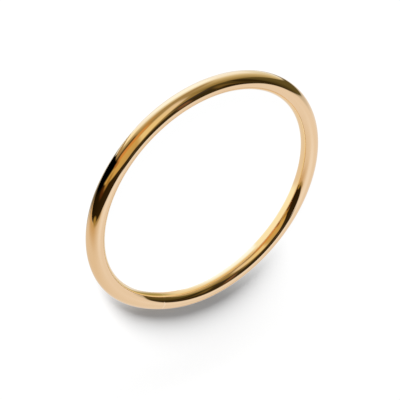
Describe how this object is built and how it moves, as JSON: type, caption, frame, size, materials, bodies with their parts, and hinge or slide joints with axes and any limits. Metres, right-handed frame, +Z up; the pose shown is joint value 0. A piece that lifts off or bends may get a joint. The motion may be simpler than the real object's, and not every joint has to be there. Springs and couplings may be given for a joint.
{
  "type": "bangle",
  "caption": "Plain closed bangle of round polished gold wire, soldered to one solid ring that slips over the hand and lies flat on its side.",
  "frame": {"origin": "middle of the ring's outline, on the surface that it lies on", "axes": "+Z up, along the hole that the hand goes through; the soldered joint is at 24 degrees from +X towards +Y"},
  "size_m": [0.0688, 0.069, 0.0045],
  "materials": {
    "polished_gold": "mirror-polished pale yellow gold"
  },
  "bodies": {
    "root": {"bangle_ring": "polished_gold"}
  },
  "joints": []
}
